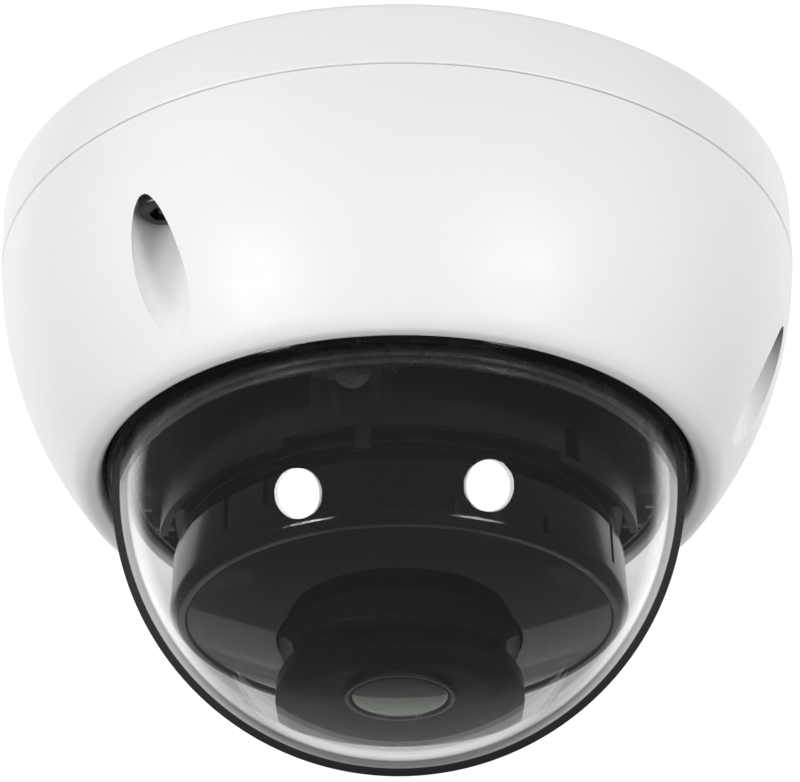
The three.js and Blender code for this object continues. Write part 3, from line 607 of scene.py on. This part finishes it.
def make_cover():
    side = cover_side()
    inner_lip, outer_lip = LIP_R
    inner_round, outer_round = LIP_ROUND
    lip = rounded([
        (*side[-1], 0),
        (outer_lip, COVER_LOW, outer_round),
        (inner_lip, COVER_LOW, inner_round),
        (OPENING_R, OPENING_EDGE_Z, 0),
    ])[1:]
    heights = (LEDGE_Z, -38, -33, -28, -22, -16, COVER_TOP)
    inside = [Vector((cover_radius(z) - COVER_WALL, z)) for z in heights]
    cover = revolve("cover", side + lip + [Vector((OPENING_R, LEDGE_Z))] + inside, 256)
    middle = [Vector((OPENING_R, COVER_LOW + 3)), Vector((OPENING_R, COVER_TOP))]
    filled = [point - Vector((POCKET_WALL_INSET, 0)) for point in side] + middle
    seats = [on_circle(SCREW_CIRCLE_R, azimuth) for azimuth in SCREW_AZIMUTHS.values()]
    for x, y in seats:
        walls = rod("wall", POCKET_WALL_R, -60, POCKET_FLOOR + 2.6, x, y)
        carve(walls, [rod("column", POCKET_COLUMN_R, POCKET_FLOOR, COVER_TOP, x, y)], "UNION")
        carve(walls, [revolve("filled", filled, 256)], "INTERSECT")
        carve(cover, [walls], "UNION")
    pockets = [rod("pocket", POCKET_R, -60, POCKET_FLOOR, x, y, 0, 96) for x, y in seats]
    bores = [rod("bore", SCREW_BORE_R, POCKET_FLOOR - 1, COVER_TOP + 1, x, y, 0, 32) for x, y in seats]
    carve(cover, pockets + bores)
    return dress(smooth(cover, 28), "base", "white_cast", white_coat, "cover_shell")


make_cover()


def make_cover_screw(side, azimuth):
    """Tamper-proof screw: domed edge, six-sided recess with a pin in its middle."""
    face = POCKET_FLOOR - SCREW_HEAD_T
    outline = rounded([
        (0, POCKET_FLOOR, 0),
        (SCREW_HEAD_R, POCKET_FLOOR, 0),
        (SCREW_HEAD_R, face, 1.0),
        (0, face, 0),
    ])
    screw = revolve("cover_screw_" + side + "_seen", outline, 48)
    recess = rod("recess", SCREW_RECESS_R, POCKET_FLOOR - 4, POCKET_FLOOR - 1, 0, 0, 0, 6)
    carve(screw, [recess])
    shaft = rod("shaft", SCREW_SHAFT_R, POCKET_FLOOR - 0.5, SCREW_TIP_Z, 0, 0, 0.2, 24)
    pin = rod("pin", SCREW_PIN_R, POCKET_FLOOR - 2.3, POCKET_FLOOR - 0.5, 0, 0, 0.1, 24)
    carve(screw, [shaft, pin], "UNION")
    x, y = on_circle(SCREW_CIRCLE_R, azimuth)
    screw.data.transform(Matrix.Translation((x * MM, y * MM, 0)))
    return dress(smooth(screw), "base", "steel", dark_screw, "cover_screw_" + side)


for screw_side, screw_azimuth in SCREW_AZIMUTHS.items():
    make_cover_screw(screw_side, screw_azimuth)


# ---------------------------------------------------------------- bubble, gasket and liner
def make_gasket():
    outline = rounded([
        (GASKET_R[0], GASKET_EDGE_Z, 0.15),
        (GASKET_R[1], GASKET_EDGE_Z, 0.15),
        (GASKET_R[1], LEDGE_Z, 0),
        (FLANGE_R, LEDGE_Z, 0.2),
        (FLANGE_R, FLANGE_Z[0], 0.2),
        (GASKET_R[0], FLANGE_Z[0], 0),
    ], 3)
    return dress(smooth(revolve("gasket", outline)), "base", "rubber", soft_rubber, "bubble_gasket")


def quarter(radius, steps):
    """From level with the bubble's centre down to its lowest point."""
    angles = [math.pi / 2 * k / steps for k in range(steps)]
    curve = [Vector((radius * math.cos(a), BUBBLE_Z - radius * math.sin(a))) for a in angles]
    return curve + [Vector((0, BUBBLE_Z - radius))]


def make_bubble():
    inner = BUBBLE_R - BUBBLE_WALL
    low, high = FLANGE_Z
    flange = [(inner, high), (FLANGE_R, high), (FLANGE_R, low), (NECK_R, low)]
    flange += [(NECK_R, -44.9), (43.75, -45.25), (43.2, -45.7)]  # the neck turns in to the ball
    outline = [Vector(p) for p in flange] + quarter(BUBBLE_R, 48) + quarter(inner, 48)[::-1]
    bubble = revolve("bubble", outline, 192)
    return dress(smooth(bubble), "base", "clear_bubble", bubble_clear, "dome_bubble")


def make_liner():
    inner, outer = LINER_R
    wall_inner, wall_outer = LINER_WALL_R
    low, high = LINER_FLANGE_Z
    outline = rounded([
        (inner, LINER_EDGE_Z, 0.2),
        (outer, LINER_EDGE_Z, 0.15),
        (outer, low, 0),
        (wall_outer, low, 0.2),
        (wall_outer, LINER_TOP_Z, 0.2),
        (wall_inner, LINER_TOP_Z, 0.2),
        (wall_inner, high, 0),
        (inner, high, 0.5),
    ], 4)
    rear = sector_cutter("rear", *LINER_REAR, LINER_EDGE_Z - 1, LINER_REAR_EDGE_Z)
    liner = carve(revolve("liner", outline), [rear])
    return dress(smooth(liner), "base", "black_plastic", black_liner, "inner_liner")


make_gasket()
make_bubble()
make_liner()


# ---------------------------------------------------------------- yoke shroud and tilt ring
def slot_cutter(azimuth, width, depth, radius, low, high):
    cutter = block("slot", (-width / 2, -radius - 1, low), (width / 2, -radius + depth, high))
    return turned(cutter, azimuth)


def boss(radius, near, far):
    """A cylinder that stands out of the shroud and tips a little downwards."""
    piece = rod("boss", radius, near, far, 0, 0, 0.25, 64)
    place = Matrix.Translation(Vector(LOCK_AT) * MM)
    piece.data.transform(place @ Matrix.Rotation(math.radians(LOCK_TIP), 4, "X"))
    return turned(piece, LOCK_AZIMUTH)


def make_shroud():
    inner, outer = SHROUD_R
    low, high = SHROUD_Z
    shroud = tube("shroud", inner, outer, low, high, 0.2)
    carve(shroud, [sector_cutter("keep", -SHROUD_HALF_ANGLE, SHROUD_HALF_ANGLE, -60, -30)], "INTERSECT")
    bay = sector_cutter("bay", *SHROUD_BAY, -60, SHROUD_BAY_TOP)
    slit = slot_cutter(SHROUD_SLOT_AZIMUTH, SHROUD_SLOT_WIDTH, 8, outer, *SHROUD_SLOT_Z)
    carve(shroud, [bay, slit])
    tab_low, tab_high = SHROUD_TAB_Z
    tab_from = (-SHROUD_TAB_HALF, -outer + 0.1, tab_low)
    tab_to = (SHROUD_TAB_HALF, -inner - 0.1, tab_high)
    tab = turned(block("tab", tab_from, tab_to, 0.2), SHROUD_TAB_AZIMUTH)
    carve(shroud, [tab, boss(6.2, 0.2, 0.9), boss(3.9, 0.2, 1.4)], "UNION")
    carve(shroud, [boss(1.6, -3, 6), boss(2.8, 1.38, 6)])
    return dress(smooth(shroud), "pan", "black_plastic", black_satin, "yoke_shroud")


def on_tilt_axis(piece):
    """Turns a piece made along Z so that it lies along the tilt axis."""
    place = Matrix.Translation((0, 0, BUBBLE_Z * MM))
    piece.data.transform(place @ Matrix.Rotation(math.radians(90), 4, "Y"))
    return piece


def make_tilt_ring():
    ring = tube("tilt_frame", *RING_R, *RING_Z, 0.3)
    ears = []
    for sign in (1, -1):
        low, high = sorted(x * sign for x in EAR_X)
        ears.append(on_tilt_axis(rod("ear", EAR_R, low, high, 0, 0, 0.3, 64)))
        ears.append(block("foot", (low, -EAR_R, EAR_FOOT_Z), (high, EAR_R, BUBBLE_Z)))
    carve(ring, ears, "UNION")
    hole = on_tilt_axis(rod("hole", PIVOT_R, -50, 50))
    carve(ring, [rod("middle", RING_R[0], -60, -30, 0, 0, 0, AROUND), hole])
    return dress(smooth(ring), "tilt", "black_plastic", black_satin, "tilt_ring")


make_shroud()
make_tilt_ring()


# ---------------------------------------------------------------- camera module
def make_bezel():
    bore, seat_r = WINDOW_R, WINDOW_R + 0.1
    lip_r, lip_top = 29.7, -66.2
    outline = rounded([
        (bore, DRUM_TOP, 0.2),
        (DRUM_R, DRUM_TOP, 0.4),
        (DRUM_R, DRUM_LOW + 1.3, 1.8),
        (DRUM_RIM_R, DRUM_LOW, 0.5),
        (seat_r, DRUM_LOW, 0.2),
        (seat_r, WINDOW_SEAT_Z, 0),
        (lip_r, WINDOW_SEAT_Z, 0),
        (lip_r, lip_top, 0),
        (bore, lip_top, 0),
    ], 5)
    bezel = revolve("bezel", outline)
    slots = [slot_cutter(a, width, DRUM_SLOT_DEPTH, DRUM_R, *heights) for a, width, *heights in DRUM_SLOTS]
    carve(bezel, slots)
    return dress(smooth(bezel), "module", "black_plastic", black_polished, "module_bezel")


def make_window_piece():
    outline = rounded([
        (WINDOW_HOLE_R, WINDOW_LOW + WINDOW_T, 0),
        (WINDOW_R, WINDOW_SEAT_Z, 0),
        (WINDOW_R, WINDOW_EDGE_Z, 0.3),
        (WINDOW_HOLE_R, WINDOW_LOW, 0.2),
    ], 4)
    return dress(smooth(revolve("window", outline)), "module", "dark_window", dark_window, "front_window")


def make_collar():
    inner, outer = COLLAR_R
    low, high = COLLAR_Z
    outline = rounded([
        (inner, high, 0),
        (COLLAR_FOOT_R, high, 0),
        (COLLAR_FOOT_R, COLLAR_FOOT_Z, 0),
        (outer, COLLAR_FOOT_Z, 0),
        (outer, low, 0.35),
        (inner, low, 0),
    ], 5)
    collar = revolve("collar", outline)
    for sign in (1, -1):
        side = block("side", (0, -30, -15), (10, 30, 5))
        lean = Matrix.Rotation(COLLAR_LEAN * sign, 4, "Y")
        flip = Matrix.Identity(4) if sign > 0 else Matrix.Rotation(math.pi, 4, "Z")
        place = Matrix.Translation((COLLAR_SIDE_X * sign * MM, 0, COLLAR_SIDE_Z * MM))
        side.data.transform(place @ lean @ flip)
        carve(collar, [side])
    return dress(smooth(collar), "module", "black_plastic", black_matt, "lens_collar")


def block_outline(inset, arc_steps=24):
    """Lens block seen from below: straight sides and large elliptic corners at the front."""
    half, near, far = BLOCK_HALF_X - inset, BLOCK_Y[0] + inset, BLOCK_Y[1]
    wide, deep = BLOCK_CORNER
    points = []
    for x, start in ((half - wide, -90), (-half + wide, 180)):
        for k in range(arc_steps + 1):
            angle = math.radians(start + 90 * k / arc_steps)
            points.append((x + wide * math.cos(angle), near + deep + deep * math.sin(angle)))
        if x > 0:
            points += [(half, far), (-half, far)]
    return points


def ball(name, radius):
    """A sphere about the bubble's centre."""
    mesh = bmesh.new()
    bmesh.ops.create_uvsphere(mesh, u_segments=96, v_segments=64, radius=radius * MM)
    bmesh.ops.translate(mesh, vec=(0, 0, BUBBLE_Z * MM), verts=mesh.verts)
    return from_bmesh(name, mesh)


def make_lens_block():
    inwards, down = BLOCK_BEVEL
    levels = [(0, COLLAR_Z[0]), (0, BLOCK_WALL_Z)]
    levels += [(inwards * t, BLOCK_WALL_Z - down * math.sin(t * math.pi / 2)) for t in BLOCK_BEVEL_STEPS]
    mesh = bmesh.new()
    rings = []
    for inset, z in levels:
        rings.append([mesh.verts.new((x * MM, y * MM, z * MM)) for x, y in block_outline(inset)])
    for upper, lower in zip(rings, rings[1:]):
        for k in range(len(upper)):
            j = (k + 1) % len(upper)
            mesh.faces.new([upper[k], upper[j], lower[j], lower[k]])
    mesh.faces.new(rings[0])
    mesh.faces.new(rings[-1][::-1])
    bmesh.ops.recalc_face_normals(mesh, faces=mesh.faces)
    housing = from_bmesh("lens_housing", mesh)
    carve(housing, [ball("sweep", SWEEP_R)], "INTERSECT")
    carve(housing, [rod("bore", LENS_RING_R[1] + 0.1, -90, -60, 0, 0, 0, 96)])
    return dress(smooth(housing), "module", "black_plastic", black_matt, "lens_block")


def make_lens():
    inner, outer = LENS_RING_R
    low, high = LENS_RING_Z
    face, back = GLASS_Z
    ring = rounded([
        (inner, high, 0),
        (outer, high, 0),
        (outer, low, 0.3),
        (7.3, low, 0.15),
        (inner, back, 0),
    ], 4)
    dress(smooth(revolve("lens_rim", ring, 96)), "module", "black_plastic", black_satin, "lens_ring")
    angles = [math.pi / 2 * k / 16 for k in range(16)]
    dome = [Vector((GLASS_R * math.cos(a), face - GLASS_DOME * math.sin(a))) for a in angles]
    glass = [Vector((0, back)), Vector((GLASS_R, back))] + dome + [Vector((0, face - GLASS_DOME))]
    lens = smooth(revolve("lens_glass", glass, 96))
    dress(lens, "module", "lens_glass", coated_glass, "lens_front_glass")


make_bezel()
make_window_piece()
make_collar()
make_lens_block()
make_lens()


# ---------------------------------------------------------------- CAD pieces that stay as they are
CARRIED = {
    "cable_grommet": soft_rubber,
    "bubble_clamp_ring": black_coated,
    "main_board": circuit_board,
    "processor_chip": chip_black,
    "heat_pad": pad_grey,
    "memory_chip": chip_black,
    "card_slot": bright_steel,
    "network_connector": ivory_plastic,
    "reset_switch_body": chip_black,
    "reset_button": ivory_plastic,
    "chassis_plate": black_coated,
    "pan_hub_screw": dark_screw,
    "pan_washer": black_coated,
    "pan_yoke": black_coated,
    "pan_lock_screw": dark_screw,
    "pivot_screw_left": dark_screw,
    "pivot_screw_right": dark_screw,
    "module_rear_cup": black_coated,
    "ir_board": circuit_board,
    "light_sensor": led_clear,
    "lens_holder": black_matt,
    "sensor_board": circuit_board,
    "image_sensor": chip_black,
    "lens_barrel": black_coated,
}
CARRIED.update({"ir_led_%d" % k: led_clear for k in (1, 2, 3, 4)})
for kind in ("clamp", "board", "chassis"):
    CARRIED.update({"%s_screw_%d" % (kind, k): bright_steel for k in (1, 2, 3)})
for node_name, look in CARRIED.items():
    node_mesh = nodes[node_name].data
    node_mesh.materials.clear()
    node_mesh.materials.append(look)


# ---------------------------------------------------------------- floor, light and camera
def pale_surface(name, value):
    made, shader = material(name, (value, value, value), 0.7)
    tree = made.node_tree
    shade = ramp(tree, noise(tree, 3, 3), (value * 0.98,) * 3, (value,) * 3)
    tree.links.new(shade, shader.inputs["Base Color"])
    return made


# Set well back, so that the bubble mirrors it only at its lower edge.
FLOOR_LOW, FLOOR_HIGH = (-800, 900, -560), (800, 3500, -550)
floor = block("floor", FLOOR_LOW, FLOOR_HIGH)
floor.data.materials.append(pale_surface("pale_floor", 0.85))


def disc_light(name, direction, distance, radius, radiance, reflected=True):
    """A round soft light that looks at the bubble. reflected=False keeps it out of the gloss."""
    light = bpy.data.lights.new(name, "AREA")
    light.shape = "DISK"
    light.size = 2 * radius
    light.energy = radiance * math.pi * math.pi * radius ** 2
    lamp = bpy.data.objects.new(name, light)
    aim = Vector(direction).normalized()
    lamp.location = Vector((0, 0, BUBBLE_Z * MM)) + aim * distance
    lamp.rotation_euler = aim.to_track_quat("Z", "Y").to_euler()
    lamp.visible_glossy = reflected
    lamp.visible_transmission = reflected
    lamp.visible_camera = False
    bpy.context.scene.collection.objects.link(lamp)


SOFTBOX_DISTANCE = 1.3
SOFTBOXES = {  # direction from the bubble, radius in metres, radiance
    "left_softbox": ((-0.638, -0.665, -0.388), 0.21, 15),
    "right_softbox": ((0.582, -0.723, -0.373), 0.22, 12),
}
FILL_DISTANCE, FILL_RADIUS = 2.0, 0.9
FILLS = {  # direction from the bubble, radiance
    "fill_left": ((-1, -0.3, 0.35), 2.5),
    "fill_right": ((1, -0.3, 0.3), 2.2),
    "fill_front": ((0.25, -1, -0.1), 0.8),
    "fill_low": ((-0.2, -0.2, -1), 1.0),
    "fill_back": ((0, 1, 0.1), 0.8),
}
for light_name, (toward, size, radiance) in SOFTBOXES.items():
    disc_light(light_name, toward, SOFTBOX_DISTANCE, size, radiance)
for light_name, (toward, radiance) in FILLS.items():
    disc_light(light_name, toward, FILL_DISTANCE, FILL_RADIUS, radiance, reflected=False)


def make_world():
    """White behind the camera's subject down to the floor, a faint glow below, and dim all round."""
    world = bpy.data.worlds.new("studio")
    bpy.context.scene.world = world
    world.use_nodes = True
    tree = world.node_tree
    where = tree.nodes.new("ShaderNodeTexCoord")

    def lobe(axis, start, full, amount, base):
        """base, rising by amount as the cosine to the axis goes from start to full."""
        toward = tree.nodes.new("ShaderNodeVectorMath")
        toward.operation = "DOT_PRODUCT"
        toward.inputs[1].default_value = axis
        level = tree.nodes.new("ShaderNodeMapRange")
        level.interpolation_type = "SMOOTHSTEP"
        level.inputs["From Min"].default_value = start
        level.inputs["From Max"].default_value = full
        level.inputs["To Min"].default_value = base
        level.inputs["To Max"].default_value = base + amount
        tree.links.new(where.outputs["Generated"], toward.inputs[0])
        tree.links.new(toward.outputs["Value"], level.inputs["Value"])
        return level.outputs["Result"]

    def combine(operation, first, second):
        node = tree.nodes.new("ShaderNodeMath")
        node.operation = operation
        tree.links.new(first, node.inputs[0])
        tree.links.new(second, node.inputs[1])
        return node.outputs["Value"]

    screen = lobe((0, 0.869, 0.496), 0.55, 0.68, 1.12, 0.0)
    above_floor = lobe((0, 0, 1), -0.15, 0.15, 0.93, 0.07)
    darker_foot = lobe((0, 0.97, 0.24), 0.955, 0.985, -0.6, 1.0)
    low_glow = lobe((0, 0.89, -0.45), 0.75, 1.0, 0.18, 0.11)
    backlight = combine("MULTIPLY", combine("MULTIPLY", screen, above_floor), darker_foot)
    total = combine("ADD", backlight, low_glow)
    around = tree.nodes["Background"]
    tree.links.new(total, around.inputs["Color"])
    backdrop = tree.nodes.new("ShaderNodeBackground")
    backdrop.inputs["Color"].default_value = (1.05, 1.05, 1.05, 1)
    seen = tree.nodes.new("ShaderNodeLightPath")
    choice = tree.nodes.new("ShaderNodeMixShader")
    tree.links.new(seen.outputs["Is Camera Ray"], choice.inputs["Fac"])
    tree.links.new(around.outputs["Background"], choice.inputs[1])
    tree.links.new(backdrop.outputs["Background"], choice.inputs[2])
    tree.links.new(choice.outputs["Shader"], tree.nodes["World Output"].inputs["Surface"])


make_world()

SENSOR_WIDTH = 36
FOCAL_LENGTH = 180
SHIFT = (0.0025, 0.026)
ELEVATION = math.radians(29.71)  # the camera looks up by this much, along +Y
ROLL = math.radians(0.41)
DISTANCE = 0.6077
TARGET = Vector((0, 0, -0.03253))

view = bpy.data.cameras.new("view")
view.sensor_width = SENSOR_WIDTH
view.lens = FOCAL_LENGTH
view.shift_x, view.shift_y = SHIFT
camera = bpy.data.objects.new("view", view)
forward = Vector((0, math.cos(ELEVATION), math.sin(ELEVATION)))
right = Vector((1, 0, 0))
up = right.cross(forward)
camera.location = TARGET - forward * DISTANCE
turn = Matrix.Rotation(ROLL, 3, forward)
axes = Matrix((turn @ right, turn @ up, -forward)).transposed()
camera.rotation_euler = axes.to_euler()
bpy.context.scene.collection.objects.link(camera)
bpy.context.scene.camera = camera
bpy.context.scene.view_settings.view_transform = "Standard"
